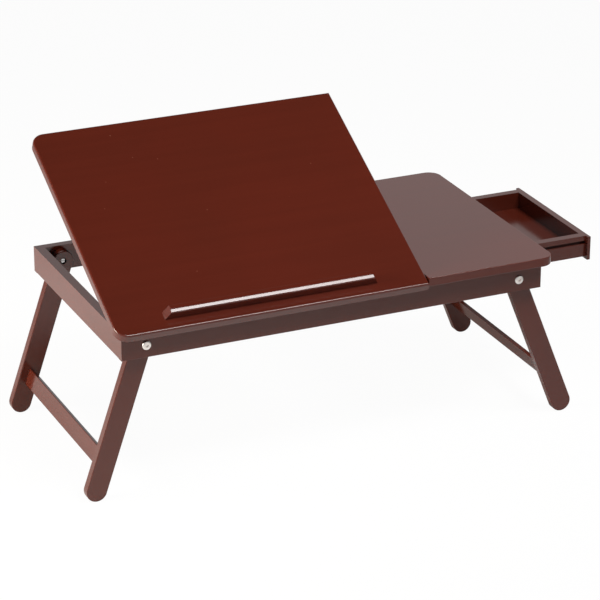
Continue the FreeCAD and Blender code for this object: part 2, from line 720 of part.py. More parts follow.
def make_prop():
    bars = {"prop_bar_left": "prop_bar_left_x", "prop_bar_right": "prop_bar_left_x + prop_bar_spacing"}
    for name, x in bars.items():
        bar = make_board(name, "prop_bar_thickness", BETWEEN_RAILS, "prop_bar_height")
        hole = (f"{AXLE_FROM_FRONT} - rail_thickness", "prop_bar_drop + prop_bar_height - prop_axle_drop")
        drill_along(bar, name + "_axle_hole", [hole], "prop_axle_radius")
        put(bar, name, "tray", x, "rail_thickness", "0 - prop_bar_drop - prop_bar_height")
    axle_length = "prop_bar_spacing + prop_bar_thickness"
    axle = make_rod("prop_axle_rod", "0", "0", "0", "prop_axle_radius", axle_length)
    clear_shift(axle)
    axle_set = join("prop_axle_set", [axle])
    put(axle_set, "prop_axle", "tray", "prop_bar_left_x", AXLE_FROM_FRONT, "0 - prop_axle_drop")
    for name, x in {"prop_arm_left": ARM_LEFT_X, "prop_arm_right": ARM_RIGHT_X}.items():
        arm = new_body(name)
        sketch = new_sketch(arm, "YZ", name + "_outline")
        draw_round_bar(sketch, "prop_length", "0", "prop_arm_width / 2")
        add_pad(arm, sketch, "prop_arm_thickness")
        drill_along(arm, name + "_axle_hole", [("0", "0")], "prop_axle_radius + bolt_running_clearance")
        drill_along(arm, name + "_rod_hole", [("prop_length", "0")], "prop_rod_radius")
        add_fillet(arm, "leg_edge_radius", lambda edge: edge.Length > LONG_EDGE)
        put(arm, name, "prop", x)
    rod = make_rod("prop_rod_cylinder", "0", "0", "0", "prop_rod_radius",
                   f"{ARM_RIGHT_X} + prop_arm_thickness - {ARM_LEFT_X}")
    clear_shift(rod)
    put(join("prop_rod_set", [rod]), "prop_rod", "prop", ARM_LEFT_X, "prop_length", "0")


# Legs


def make_leg(name, side, y, sense):
    """Make a leg with pivot hole, nut recess and stretcher mortise: sense 1 at the front, -1 at the back."""
    body = new_body(name)
    sketch = new_sketch(body, "XZ", name + "_outline")
    draw_round_bar(sketch, "0", f"0 - {LEG_LENGTHS[side]}", "leg_width / 2")
    add_pad(body, sketch, "leg_thickness", turned=True)
    drill_across(body, name + "_pivot_hole", [("0", "0")], "bolt_radius + bolt_running_clearance")
    inner_level = "0 - leg_thickness" if sense > 0 else "0"
    drill_across(body, name + "_nut_recess", [("0", "0")], "counterbore_radius",
                 "nut_length + nut_sink + seat_clearance", inner_level, turned=sense > 0)
    mortise = new_sketch(body, "XZ", name + "_mortise", inner_level)
    draw_rectangle(mortise, "0 - stretcher_thickness / 2", "0 - stretcher_distance - stretcher_width / 2",
                   "stretcher_thickness / 2", "0 - stretcher_distance + stretcher_width / 2")
    add_pocket(body, mortise, "stretcher_tenon", turned=sense > 0)
    add_fillet(body, "leg_edge_radius", is_leg_rim)
    put(body, name, side + "_legs", "0", y)


def is_leg_rim(edge):
    """Pick a leg's long edges and its round ends, not its holes."""
    box = edge.BoundBox
    return box.YLength < CLOSE and max(box.XLength, box.ZLength) > value("leg_width") - CLOSE


def make_legs():
    for side in ("left", "right"):
        make_leg(f"leg_front_{side}", side, "rail_thickness + leg_side_gap", 1)
        make_leg(f"leg_back_{side}", side, f"frame_depth - {LEG_INNER_Y}", -1)
        stretcher = make_board(f"stretcher_{side}", "stretcher_thickness",
                               f"frame_depth - 2 * {LEG_INNER_Y} + 2 * stretcher_tenon", "stretcher_width")
        add_fillet(stretcher, "rail_edge_radius", lambda edge: edge.Length > LONG_EDGE)
        put(stretcher, f"stretcher_{side}", side + "_legs", "0 - stretcher_thickness / 2",
            f"{LEG_INNER_Y} - stretcher_tenon", "0 - stretcher_distance - stretcher_width / 2")


def make_bolt(name, x, sense):
    """Make a leg bolt along y, with a round head outside the rail: sense 1 at the front, -1 at the back."""
    body = new_body(name)
    sign = "1" if sense > 0 else "(0 - 1)"
    end = f"{sign} * ({NUT_FACE_Y} - nut_length / 2)"
    outline = new_sketch(body, "XY", name + "_half_section")
    draw_polygon(outline, [
        ("0", f"{sign} * (0 - bolt_head_height)"),
        ("bolt_head_radius", f"{sign} * (0 - bolt_head_height)"),
        ("bolt_head_radius", "0"),
        ("bolt_radius", "0"),
        ("bolt_radius", end),
        ("0", end),
    ])
    turned = body.newObject("PartDesign::Revolution", name + "_turned")
    turned.Profile = outline
    turned.ReferenceAxis = (outline, ["V_Axis"])
    turned.Angle = 360
    doc.recompute()
    add_fillet(body, "bolt_head_height - bolt_head_rim",
               lambda edge: lies_at(edge, y=f"{sign} * (0 - bolt_head_height)"))
    socket = new_sketch(body, "XZ", name + "_socket", f"{sign} * bolt_head_height")
    angles = range(0, 360, 60)
    draw_polygon(socket, [(f"bolt_socket_radius * cos({angle})", f"bolt_socket_radius * sin({angle})")
                          for angle in angles])
    add_pocket(body, socket, "bolt_socket_depth", turned=sense < 0)
    put(body, name, "tray", x, "0" if sense > 0 else "frame_depth", PIVOT_LEVEL)


def make_nut(name, x, sense):
    """Make a slotted barrel nut in the leg's inner recess: sense 1 at the front, -1 at the back."""
    body = new_body(name)
    outline = new_sketch(body, "XZ", name + "_outline")
    draw_circle(outline, "0", "0", "nut_radius", "rim")
    add_pad(body, outline, "nut_length", turned=sense > 0)
    drill_across(body, name + "_thread", [("0", "0")], "bolt_radius", "nut_length / 2",
                 turned=sense < 0)
    slot = new_sketch(body, "XZ", name + "_slot", "0 - nut_length" if sense > 0 else "nut_length")
    slot_corner = ("2 * nut_radius", "nut_slot_width / 2")
    draw_rectangle(slot, *[f"0 - {size}" for size in slot_corner], *slot_corner)
    add_pocket(body, slot, "nut_slot_depth", turned=sense > 0)
    inner = f"{NUT_FACE_Y} - nut_length"
    put(body, name, "tray", x, inner if sense > 0 else f"frame_depth - ({inner})", PIVOT_LEVEL)


def make_bolts():
    for side, x in {"left": "leg_pivot_inset", "right": RIGHT_PIVOT}.items():
        for place, sense in {"front": 1, "back": -1}.items():
            make_bolt(f"leg_bolt_{place}_{side}", x, sense)
            make_nut(f"leg_nut_{place}_{side}", x, sense)


# Drawer, its runners and its stop


def runner_screw_places():
    """List the runners' screws from the tray's corner: two in each runner."""
    y_places = [f"({BOX_FRONT_Y} - runner_side_gap - {RUNNER_WIDTH} / 2)",
                f"(frame_depth - {BOX_FRONT_Y} + runner_side_gap + {RUNNER_WIDTH} / 2)"]
    return [(f"{BATTEN_X} + batten_width + {step}", y) for y in y_places for step in RUNNER_SCREW_X]


def mirrored(corners, sense):
    """Give the corners of a section, with y turned round for the back of the tray."""
    return corners if sense > 0 else [(f"0 - ({y})", z) for y, z in corners]


def make_runner(name, sense):
    """Make a drawer runner: a strip under the top with a tongue that the drawer side's groove slides on."""
    body = new_body(name)
    section = new_sketch(body, "YZ", name + "_section")
    tongue_high = "(0 - drawer_box_drop - groove_drop - runner_play)"
    tongue_low = f"({tongue_high} - groove_height + 2 * runner_play)"
    tongue_tip = f"({RUNNER_WIDTH} + runner_side_gap + groove_depth - 2 * runner_play)"
    draw_polygon(section, mirrored([
        ("0", "0"),
        ("0", "0 - runner_height"),
        (RUNNER_WIDTH, "0 - runner_height"),
        (RUNNER_WIDTH, tongue_low),
        (tongue_tip, tongue_low),
        (tongue_tip, tongue_high),
        (RUNNER_WIDTH, tongue_high),
        (RUNNER_WIDTH, "0"),
    ], sense))
    add_pad(body, section, f"frame_length - runner_front_setback - {BATTEN_X} - batten_width")
    middle = f"{RUNNER_WIDTH} / 2" if sense > 0 else f"0 - {RUNNER_WIDTH} / 2"
    places = [(step, middle) for step in RUNNER_SCREW_X]
    drill_upright(body, name + "_screw_holes", places, "screw_radius")
    drill_upright(body, name + "_counterbores", places, "screw_head_radius", "screw_head_height",
                  "0 - runner_height", turned=True)
    y = "rail_thickness + end_stub_length"
    put(body, name, "tray", f"{BATTEN_X} + batten_width", y if sense > 0 else f"frame_depth - ({y})", "0")


def make_drawer_side(name, sense):
    """Make a drawer side: a groove outside for the runner's tongue and one inside for the floor."""
    body = new_body(name)
    section = new_sketch(body, "YZ", name + "_section")
    groove_high = "(drawer_box_height - groove_drop)"
    groove_low = f"({groove_high} - groove_height)"
    lip = "(drawer_side_thickness - drawer_floor_lip)"
    floor_high = "(drawer_floor_rise + drawer_floor_thickness)"
    draw_polygon(section, mirrored([
        ("0", "0"),
        ("drawer_side_thickness", "0"),
        ("drawer_side_thickness", "drawer_floor_rise"),
        (lip, "drawer_floor_rise"),
        (lip, floor_high),
        ("drawer_side_thickness", floor_high),
        ("drawer_side_thickness", "drawer_box_height"),
        ("0", "drawer_box_height"),
        ("0", groove_high),
        ("groove_depth", groove_high),
        ("groove_depth", groove_low),
        ("0", groove_low),
    ], sense))
    add_pad(body, section, BOX_LENGTH)
    y = BOX_FRONT_Y if sense > 0 else f"frame_depth - {BOX_FRONT_Y}"
    put(body, name, "drawer", BOX_BACK_X, y, BOX_BOTTOM_Z)


def make_drawer():
    inner_y = f"{BOX_FRONT_Y} + drawer_side_thickness"
    inner_front_x = "(frame_length - drawer_plate_thickness - drawer_front_thickness)"
    inner_back_x = f"({BOX_BACK_X} + drawer_back_thickness)"
    make_drawer_side("drawer_side_front", 1)
    make_drawer_side("drawer_side_back", -1)
    front = make_board("drawer_front_board", "drawer_front_thickness", BOX_INNER_WIDTH, "drawer_box_height")
    put(front, "drawer_front_board", "drawer", inner_front_x, inner_y, BOX_BOTTOM_Z)
    back = make_board("drawer_back_board", "drawer_back_thickness", BOX_INNER_WIDTH,
                      "drawer_box_height + drawer_back_rise")
    put(back, "drawer_back_board", "drawer", BOX_BACK_X, inner_y, BOX_BOTTOM_Z)
    floor = make_board("drawer_floor", f"{inner_front_x} - {inner_back_x}",
                       f"{BOX_INNER_WIDTH} + 2 * drawer_floor_lip", "drawer_floor_thickness")
    put(floor, "drawer_floor", "drawer", inner_back_x, f"{inner_y} - drawer_floor_lip",
        f"{BOX_BOTTOM_Z} + drawer_floor_rise")
    plate = make_board("drawer_plate", "drawer_plate_thickness", "drawer_plate_width",
                       "rail_height + drawer_plate_hang - drawer_plate_drop")
    add_fillet(plate, "drawer_plate_edge", lambda edge: lies_at(edge, x="drawer_plate_thickness"))
    put(plate, "drawer_plate", "drawer", "frame_length - drawer_plate_thickness",
        "(frame_depth - drawer_plate_width) / 2", "0 - rail_height - drawer_plate_hang")


def make_runners():
    make_runner("drawer_runner_front", 1)
    make_runner("drawer_runner_back", -1)
    screws = [make_screw(f"runner_screw_{number}", x, y, "0 - runner_height", "screw_radius",
                         "screw_head_radius", "screw_head_height", "runner_height + screw_bite", upward=True)
              for number, (x, y) in enumerate(runner_screw_places(), start=1)]
    put(join("runner_screw_set", screws), "runner_screws", "tray")
    stop_length = f"{BOX_INNER_WIDTH} - 2 * stop_side_margin"
    stop = make_board("drawer_stop", "stop_width", stop_length, "stop_height")
    stop_y = f"{BOX_FRONT_Y} + drawer_side_thickness + stop_side_margin"
    put(stop, "drawer_stop", "tray", "stop_x", stop_y, "0 - stop_height")


def check_and_write():
    """Stop if any object failed or any piece has no sound shape, then write a STEP file for each piece."""
    doc.recompute()
    failed = [thing.Name for thing in doc.Objects if {"Invalid", "Error"} & set(thing.State)]
    failed += [piece.Label for piece in PIECES if piece.Shape.isNull() or not piece.Shape.isValid()]
    if failed:
        raise RuntimeError("failed: " + ", ".join(failed))
    os.makedirs("parts", exist_ok=True)
    for piece in PIECES:
        piece.Shape.exportStep(f"parts/{piece.Label}.step")


fill_sheet()
make_frame()
make_fixed_top()
make_hinges()
make_tilt_panel()
make_ledge_bar()
make_notch_rack()
make_prop()
make_legs()
make_bolts()
make_drawer()
make_runners()
check_and_write()
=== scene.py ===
import math

import bpy
from mathutils import Matrix, Vector

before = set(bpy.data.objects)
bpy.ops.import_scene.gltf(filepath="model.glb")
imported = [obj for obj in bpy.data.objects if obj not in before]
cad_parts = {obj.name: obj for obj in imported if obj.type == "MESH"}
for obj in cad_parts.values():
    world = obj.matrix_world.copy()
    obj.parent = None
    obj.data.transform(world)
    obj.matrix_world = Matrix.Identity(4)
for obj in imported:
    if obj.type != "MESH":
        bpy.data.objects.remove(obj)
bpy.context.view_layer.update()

bl_info = {
    "name": "Laptop stand with drawer",
    "version": (1, 0, 0),
    "blender": (4, 5, 0),
    "location": "View3D > Sidebar > Laptop stand",
    "description": "Finishes the wooden laptop stand and lights it in a pale studio",
    "category": "Object",
}

MM = 0.001
ALONG_X = Vector((1, 0, 0))
ALONG_Y = Vector((0, 1, 0))
TILT = math.radians(27.5)
LEG_SPLAY = {"left": math.radians(-18.7), "right": math.radians(21.7)}
PROP_RISE = math.radians(45)

# For each noise of the grain: repeats in a metre along and across it, and the levels drawn as 0 and 1
GRAIN_NOISES = {
    "Streaks": ((3.0, 90.0, 90.0), (0.3, 0.7)),
    "Pores": ((22.0, 900.0, 900.0), (0.3, 0.5)),
}
# The stain's tint at two levels of the cloudy noise, and how the lacquer's roughness changes with it
STAIN_CLOUDS = {0.35: (0.82, 0.95, 1.0, 1), 0.65: (1.0, 0.92, 0.88, 1)}
CLOUD_SHEEN = (-0.03, 0.05)
# Share of the dust's cells that hold no speck
SPECKLESS_SHARE = 0.8
# Roughness of each plating, and how strongly its scratches show
NICKEL_BLUR, NICKEL_SCRATCHES = 0.22, 0.1
ZINC_BLUR, ZINC_SCRATCHES = 0.36, 0.25
# Ratios between which wear changes a plating's brightness and its roughness
WEAR_TONE = (0.9, 1.0)
WEAR_BLUR = (0.7, 1.3)
SCRATCH_DEPTH = 0.02 * MM


def linear(red, green, blue):
    """Turn a colour of 0 to 255 steps into the linear colour that a shader takes."""
    steps = [channel / 255 for channel in (red, green, blue)]
    return tuple(step / 12.92 if step <= 0.04045 else ((step + 0.055) / 1.055) ** 2.4 for step in steps)


# Settings


class WoodFinish(bpy.types.PropertyGroup):
    top_stain: bpy.props.FloatVectorProperty(
        name="Top stain", description="Colour of both tops and the ledge", subtype="COLOR", size=3,
        min=0, max=1, default=(0.089, 0.0135, 0.0068))
    frame_stain: bpy.props.FloatVectorProperty(
        name="Frame stain", description="Colour of the rails, legs and stretchers", subtype="COLOR", size=3,
        min=0, max=1, default=(0.086, 0.0145, 0.0072))
    drawer_stain: bpy.props.FloatVectorProperty(
        name="Drawer stain", description="Colour of the drawer", subtype="COLOR", size=3,
        min=0, max=1, default=(0.078, 0.0125, 0.0065))
    hidden_stain: bpy.props.FloatVectorProperty(
        name="Hidden wood stain", description="Colour of the battens, runners and prop", subtype="COLOR",
        size=3, min=0, max=1, default=(0.082, 0.017, 0.009))
    dust_colour: bpy.props.FloatVectorProperty(
        name="Dust colour", description="Colour of the specks of dust on the tilting top", subtype="COLOR",
        size=3, min=0, max=1, default=linear(150, 98, 80))
    dust_cover: bpy.props.FloatProperty(
        name="Dust cover", description="How far a speck hides the stain under it", subtype="FACTOR",
        min=0, max=1, default=0.4)
    sheen: bpy.props.FloatProperty(
        name="Lacquer roughness", description="How far the lacquer blurs what it mirrors", subtype="FACTOR",
        min=0, max=1, default=0.14)
    grain_contrast: bpy.props.FloatProperty(
        name="Grain contrast", description="How much darker the grain's streaks are", subtype="FACTOR",
        min=0, max=1, default=0.05)
    grain_relief: bpy.props.FloatProperty(
        name="Grain relief", description="Depth of the grain's pores", subtype="DISTANCE", unit="LENGTH",
        min=0, default=0.012 * MM)


class MetalFinish(bpy.types.PropertyGroup):
    nickel: bpy.props.FloatVectorProperty(
        name="Nickel", description="Colour of the leg bolts' heads", subtype="COLOR", size=3,
        min=0, max=1, default=linear(232, 226, 222))
    zinc: bpy.props.FloatVectorProperty(
        name="Zinc", description="Colour of the hinges, nuts, screws and rods", subtype="COLOR", size=3,
        min=0, max=1, default=linear(196, 197, 199))


class StudioSettings(bpy.types.PropertyGroup):
    focal_length: bpy.props.FloatProperty(
        name="Focal length", description="Camera's focal length in millimetres", subtype="DISTANCE_CAMERA",
        default=170.451)
    yaw: bpy.props.FloatProperty(
        name="Yaw", description="How far the camera looks to the right of straight back", subtype="ANGLE",
        unit="ROTATION", default=math.radians(24.234))
    pitch: bpy.props.FloatProperty(
        name="Pitch", description="How far the camera looks down", subtype="ANGLE", unit="ROTATION",
        default=math.radians(22.926))
    roll: bpy.props.FloatProperty(
        name="Roll", description="How far the camera leans", subtype="ANGLE", unit="ROTATION",
        default=math.radians(0.090))
    place: bpy.props.FloatVectorProperty(
        name="Camera place", description="Where the camera stands", subtype="TRANSLATION", unit="LENGTH",
        size=3, default=(-1.45411, -3.20414, 1.64715))
    key_power: bpy.props.FloatProperty(
        name="Key light", description="Power of the softbox at the left", subtype="POWER", unit="POWER",
        default=33)
    key_place: bpy.props.FloatVectorProperty(
        name="Key place", description="Where the softbox at the left stands", subtype="TRANSLATION",
        unit="LENGTH", size=3, default=(-1.6, 0.0, 0.6))
    key_size: bpy.props.FloatVectorProperty(
        name="Key size", description="Width and height of the softbox at the left", subtype="XYZ",
        unit="LENGTH", size=2, min=0, default=(0.9, 0.6))
    key_tint: bpy.props.FloatVectorProperty(
        name="Key tint", description="Colour of the softbox at the left", subtype="COLOR", size=3,
        min=0, max=1, default=(1.0, 0.91, 0.8))
    front_power: bpy.props.FloatProperty(
        name="Front light", description="Power of the softbox above the front", subtype="POWER", unit="POWER",
        default=8.6)
    front_place: bpy.props.FloatVectorProperty(
        name="Front place", description="Where the softbox above the front hangs", subtype="TRANSLATION",
        unit="LENGTH", size=3, default=(0.45, -0.88, 1.9))
    front_size: bpy.props.FloatVectorProperty(
        name="Front size", description="Width and height of the softbox above the front", subtype="XYZ",
        unit="LENGTH", size=2, min=0, default=(1.2, 0.6))
    front_spread: bpy.props.FloatProperty(
        name="Front spread", description="How wide the grid on the front softbox lets its light spread",
        subtype="ANGLE", unit="ROTATION", default=math.radians(80))
    fill_strength: bpy.props.FloatProperty(
        name="Fill", description="Strength of the light from all round", min=0, default=0.14)
    horizon_strength: bpy.props.FloatProperty(
        name="Horizon", description="How bright the studio's walls look in the lacquer", min=0, default=0.66)
    ceiling_strength: bpy.props.FloatProperty(
        name="Ceiling", description="How bright the studio's ceiling looks in the lacquer", min=0,
        default=0.02)
    aim_height: bpy.props.FloatProperty(
        name="Aim height", description="Height above the floor of the point that the softboxes face",
        subtype="DISTANCE", unit="LENGTH", default=0.2)
    floor_size: bpy.props.FloatProperty(
        name="Floor size", description="Length of the floor's sides", subtype="DISTANCE", unit="LENGTH",
        min=0, default=14)
    floor_colour: bpy.props.FloatVectorProperty(
        name="Floor colour", description="Colour of the floor", subtype="COLOR", size=3, min=0, max=1,
        default=(0.86, 0.86, 0.86))
    floor_whiteness: bpy.props.FloatProperty(
        name="Floor whiteness", description="How far the floor is washed out to white where it is seen",
        subtype="FACTOR", min=0, max=1, default=0.96)
    floor_mirrored_whiteness: bpy.props.FloatProperty(
        name="Mirrored whiteness", subtype="FACTOR", min=0, max=1, default=0.04,
        description="How far the floor is washed out where lacquer or metal mirrors it")


# Shader building blocks


def add_node(tree, kind, x, y, **settings):
    """Add a shader node at a place in the tree, with its own settings."""
    node = tree.nodes.new(kind)
    node.location = (x, y)
    for name, setting in settings.items():
        setattr(node, name, setting)
    return node


def new_group(name, inputs, outputs):
    """Make a shader node group with named float, vector or colour sockets."""
    group = bpy.data.node_groups.new(name, "ShaderNodeTree")
    for socket, kind, default in inputs:
        made = group.interface.new_socket(socket, in_out="INPUT", socket_type=kind)
        if default is not None:
            made.default_value = default
    for socket, kind in outputs:
        group.interface.new_socket(socket, in_out="OUTPUT", socket_type=kind)
    return group, add_node(group, "NodeGroupInput", -900, 0), add_node(group, "NodeGroupOutput", 900, 0)


def wood_grain_group():
    """Give streaks, pores and cloudy patches of stain for a board whose grain runs along its X."""
    if "wood grain" in bpy.data.node_groups:
        return bpy.data.node_groups["wood grain"]
    group, given, result = new_group(
        "wood grain",
        [("Vector", "NodeSocketVector", None)],
        [("Streaks", "NodeSocketFloat"), ("Pores", "NodeSocketFloat"), ("Clouds", "NodeSocketFloat")],
    )
    link = group.links.new
    for number, (name, (repeats_per_metre, (low, high))) in enumerate(GRAIN_NOISES.items()):
        stretched = add_node(group, "ShaderNodeVectorMath", -480, -260 * number, operation="MULTIPLY")
        stretched.inputs[1].default_value = repeats_per_metre
        link(given.outputs["Vector"], stretched.inputs[0])
        noise = add_node(group, "ShaderNodeTexNoise", -260, -260 * number)
        noise.inputs["Scale"].default_value = 1
        noise.inputs["Detail"].default_value = 5
        noise.inputs["Distortion"].default_value = 0.6
        link(stretched.outputs[0], noise.inputs["Vector"])
        spread = add_node(group, "ShaderNodeMapRange", 40, -260 * number)
        spread.inputs["From Min"].default_value = low
        spread.inputs["From Max"].default_value = high
        link(noise.outputs["Fac"], spread.inputs["Value"])
        link(spread.outputs["Result"], result.inputs[name])
    clouds = add_node(group, "ShaderNodeTexNoise", -260, -540)
    clouds.inputs["Scale"].default_value = 7
    clouds.inputs["Detail"].default_value = 2
    link(given.outputs["Vector"], clouds.inputs["Vector"])
    link(clouds.outputs["Fac"], result.inputs["Clouds"])
    return group


def dust_group():
    """Give a mask of sparse fine specks."""
    if "dust specks" in bpy.data.node_groups:
        return bpy.data.node_groups["dust specks"]
    group, given, result = new_group(
        "dust specks",
        [("Vector", "NodeSocketVector", None), ("Cells per metre", "NodeSocketFloat", 60.0),
         ("Speck radius", "NodeSocketFloat", 0.05)],
        [("Specks", "NodeSocketFloat")],
    )
    link = group.links.new
    cells = add_node(group, "ShaderNodeTexVoronoi", -400, 0)
    link(given.outputs["Vector"], cells.inputs["Vector"])
    link(given.outputs["Cells per metre"], cells.inputs["Scale"])
    near = add_node(group, "ShaderNodeMath", -100, 0, operation="LESS_THAN")
    link(cells.outputs["Distance"], near.inputs[0])
    link(given.outputs["Speck radius"], near.inputs[1])
    tone = add_node(group, "ShaderNodeSeparateColor", -100, -200)
    link(cells.outputs["Color"], tone.inputs[0])
    rare = add_node(group, "ShaderNodeMath", 120, -200, operation="GREATER_THAN")
    rare.inputs[1].default_value = SPECKLESS_SHARE
    link(tone.outputs[0], rare.inputs[0])
    both = add_node(group, "ShaderNodeMath", 340, 0, operation="MULTIPLY")
    link(near.outputs[0], both.inputs[0])
    link(rare.outputs[0], both.inputs[1])
    link(both.outputs[0], result.inputs["Specks"])
    return group


def new_material(name):
    """Make a material with one principled shader, and give its node tree and shader too."""
    material = bpy.data.materials.new(name)
    material.use_nodes = True
    material.node_tree.nodes.clear()
    tree = material.node_tree
    shader = add_node(tree, "ShaderNodeBsdfPrincipled", 600, 0)
    output = add_node(tree, "ShaderNodeOutputMaterial", 900, 0)
    tree.links.new(shader.outputs["BSDF"], output.inputs["Surface"])
    return material, tree, shader


def colour_ratio(colour, ratio):
    """Give a colour, made brighter or darker by a ratio, as the four channels that a socket takes."""
    return tuple(channel * ratio for channel in colour) + (1.0,)


def make_wood(name, stain, grain_direction, dust=0.0):
    """Make stained, lacquered wood whose grain runs along a direction, with some dust on it if asked."""
    finish = bpy.context.scene.wood_finish
    material, tree, shader = new_material(name)
    link = tree.links.new
    place = add_node(tree, "ShaderNodeTexCoord", -1100, 0)
    turn = add_node(tree, "ShaderNodeMapping", -900, 0)
    turn.inputs["Rotation"].default_value = grain_direction.rotation_difference(ALONG_X).to_euler()
    link(place.outputs["Object"], turn.inputs["Vector"])
    grain = add_node(tree, "ShaderNodeGroup", -650, 0, node_tree=wood_grain_group())
    link(turn.outputs["Vector"], grain.inputs["Vector"])
    streaked = add_node(tree, "ShaderNodeMix", -350, 150, data_type="RGBA")
    streaked.inputs["A"].default_value = colour_ratio(stain, 1 - finish.grain_contrast)
    streaked.inputs["B"].default_value = colour_ratio(stain, 1 + finish.grain_contrast / 2)
    link(grain.outputs["Streaks"], streaked.inputs["Factor"])
    clouded = add_node(tree, "ShaderNodeMix", -120, 150, data_type="RGBA", blend_type="MULTIPLY")
    clouded.inputs["Factor"].default_value = 0.35
    tint = add_node(tree, "ShaderNodeValToRGB", -420, -120)
    for stop, (position, colour) in zip(tint.color_ramp.elements, STAIN_CLOUDS.items()):
        stop.position = position
        stop.color = colour
    link(grain.outputs["Clouds"], tint.inputs["Fac"])
    link(streaked.outputs["Result"], clouded.inputs["A"])
    link(tint.outputs["Color"], clouded.inputs["B"])
    specks = add_node(tree, "ShaderNodeGroup", -350, 420, node_tree=dust_group())
    link(place.outputs["Object"], specks.inputs["Vector"])
    settled = add_node(tree, "ShaderNodeMath", -100, 420, operation="MULTIPLY")
    settled.inputs[1].default_value = dust
    link(specks.outputs["Specks"], settled.inputs[0])
    dusty = add_node(tree, "ShaderNodeMix", 150, 200, data_type="RGBA")
    dusty.inputs["B"].default_value = colour_ratio(finish.dust_colour, 1.0)
    link(settled.outputs[0], dusty.inputs["Factor"])
    link(clouded.outputs["Result"], dusty.inputs["A"])
    link(dusty.outputs["Result"], shader.inputs["Base Color"])
    gloss = add_node(tree, "ShaderNodeMapRange", 150, -120)
    smoother, rougher = CLOUD_SHEEN
    gloss.inputs["To Min"].default_value = finish.sheen + smoother
    gloss.inputs["To Max"].default_value = finish.sheen + rougher
    link(grain.outputs["Clouds"], gloss.inputs["Value"])
    link(gloss.outputs["Result"], shader.inputs["Roughness"])
    relief = add_node(tree, "ShaderNodeBump", 350, -300)
    relief.inputs["Strength"].default_value = 0.35
    relief.inputs["Distance"].default_value = finish.grain_relief
    link(grain.outputs["Pores"], relief.inputs["Height"])
    link(relief.outputs["Normal"], shader.inputs["Normal"])
    shader.inputs["IOR"].default_value = 1.5
    return material


def make_metal(name, colour, roughness, scratch):
    """Make plated metal with faint scratches and small changes of tone."""
    material, tree, shader = new_material(name)
    link = tree.links.new
    place = add_node(tree, "ShaderNodeTexCoord", -900, 0)
    wear = add_node(tree, "ShaderNodeTexNoise", -650, 100)
    wear.inputs["Scale"].default_value = 420
    wear.inputs["Detail"].default_value = 4
    link(place.outputs["Object"], wear.inputs["Vector"])
    tone = add_node(tree, "ShaderNodeMix", -350, 200, data_type="RGBA")
    for socket, ratio in zip("AB", WEAR_TONE):
        tone.inputs[socket].default_value = colour_ratio(colour, ratio)
    link(wear.outputs["Fac"], tone.inputs["Factor"])
    link(tone.outputs["Result"], shader.inputs["Base Color"])
    blur = add_node(tree, "ShaderNodeMapRange", -350, -50)
    for socket, ratio in zip(("To Min", "To Max"), WEAR_BLUR):
        blur.inputs[socket].default_value = roughness * ratio
    link(wear.outputs["Fac"], blur.inputs["Value"])
    link(blur.outputs["Result"], shader.inputs["Roughness"])
    fine = add_node(tree, "ShaderNodeTexNoise", -650, -300)
    fine.inputs["Scale"].default_value = 2600
    fine.inputs["Detail"].default_value = 3
    link(place.outputs["Object"], fine.inputs["Vector"])
    relief = add_node(tree, "ShaderNodeBump", -50, -250)
    relief.inputs["Strength"].default_value = scratch
    relief.inputs["Distance"].default_value = SCRATCH_DEPTH
    link(fine.outputs["Fac"], relief.inputs["Height"])
    link(relief.outputs["Normal"], shader.inputs["Normal"])
    shader.inputs["Metallic"].default_value = 1.0
    return material


def finish_nodes(material, names):
    """Give CAD nodes a material of this script."""
    for name in names:
        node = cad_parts[name]
        node.data.materials.clear()
        node.data.materials.append(material)


# The stand's pieces


class LAPTOPSTAND_OT_tops(bpy.types.Operator):
    """Finish the tilting top, its ledge and rack, and the fixed top"""
    bl_idname = "laptopstand.tops"
    bl_label = "Tops"

    def execute(self, context):
        finish = context.scene.wood_finish
        stain = Vector(finish.top_stain)
        tilting_wood = make_wood("tilting top wood", stain, ALONG_X, dust=finish.dust_cover)
        finish_nodes(tilting_wood, ["tilt_panel", "ledge_bar"])
        finish_nodes(make_wood("fixed top wood", stain, ALONG_X), ["fixed_top"])
        up_the_panel = Vector((0, math.cos(TILT), math.sin(TILT)))
        finish_nodes(make_wood("rack wood", stain, up_the_panel), ["notch_rack"])
        return {"FINISHED"}


class LAPTOPSTAND_OT_frame(bpy.types.Operator):
    """Finish the rails of the tray frame and the battens inside it"""
    bl_idname = "laptopstand.frame"
    bl_label = "Tray frame"

    def execute(self, context):
        finish = context.scene.wood_finish
        long_rails = ["front_rail", "back_rail"]
        end_rails = ["left_end_rail", "right_end_rail_front", "right_end_rail_back"]
        cross_pieces = ["cross_batten", "prop_bar_left", "prop_bar_right", "drawer_stop"]
        runners = ["drawer_runner_front", "drawer_runner_back"]
        finish_nodes(make_wood("long rail wood", Vector(finish.frame_stain), ALONG_X), long_rails)
        finish_nodes(make_wood("end rail wood", Vector(finish.frame_stain), ALONG_Y), end_rails)
        finish_nodes(make_wood("batten wood", Vector(finish.hidden_stain), ALONG_Y), cross_pieces)
        finish_nodes(make_wood("runner wood", Vector(finish.hidden_stain), ALONG_X), runners)
        return {"FINISHED"}


class LAPTOPSTAND_OT_legs(bpy.types.Operator):
    """Finish the folding legs and their stretchers"""
    bl_idname = "laptopstand.legs"
    bl_label = "Legs"

    def execute(self, context):
        stain = Vector(context.scene.wood_finish.frame_stain)
        for side, splay in LEG_SPLAY.items():
            down_the_leg = Vector((math.sin(splay), 0, -math.cos(splay)))
            wood = make_wood(f"{side} leg wood", stain, down_the_leg)
            finish_nodes(wood, [f"leg_front_{side}", f"leg_back_{side}"])
        finish_nodes(make_wood("stretcher wood", stain, ALONG_Y), ["stretcher_left", "stretcher_right"])
        return {"FINISHED"}


